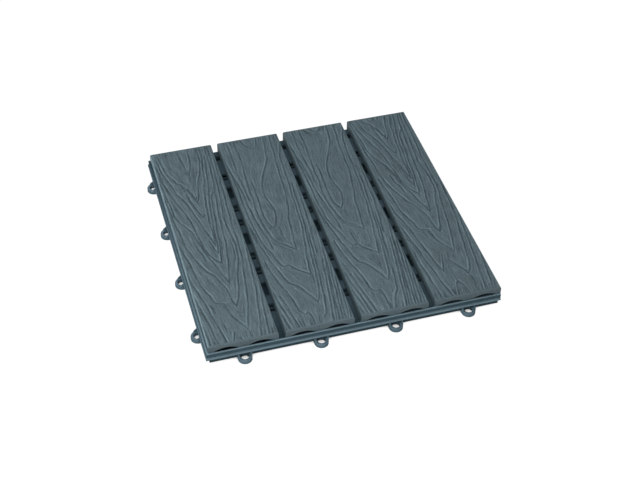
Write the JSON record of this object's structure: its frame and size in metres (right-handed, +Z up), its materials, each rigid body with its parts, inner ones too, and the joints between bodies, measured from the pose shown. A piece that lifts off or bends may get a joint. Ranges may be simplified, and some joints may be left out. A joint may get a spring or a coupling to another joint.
{
  "type": "interlocking deck tile",
  "caption": "Square interlocking deck tile with wood-grained composite slats on a dark moulded base with eyelets and pegs.",
  "frame": {"origin": "on the ground, under the middle of the square field of slats", "axes": "+Z up through the slats; the slats run along Y; the eyelets stand out on the -X and -Y sides, the pegs on the +X and +Y sides"},
  "size_m": [0.3091, 0.3091, 0.022],
  "materials": {
    "base_plastic": "satin moulded polypropylene",
    "slat_composite": "matte wood-plastic composite with an embossed grain",
    "screw_steel": "zinc plated"
  },
  "bodies": {
    "root": {"base_grid": "base_plastic", "slat_1": "slat_composite", "slat_2": "slat_composite", "slat_3": "slat_composite", "slat_4": "slat_composite", "slat_screws": "screw_steel"}
  },
  "joints": []
}
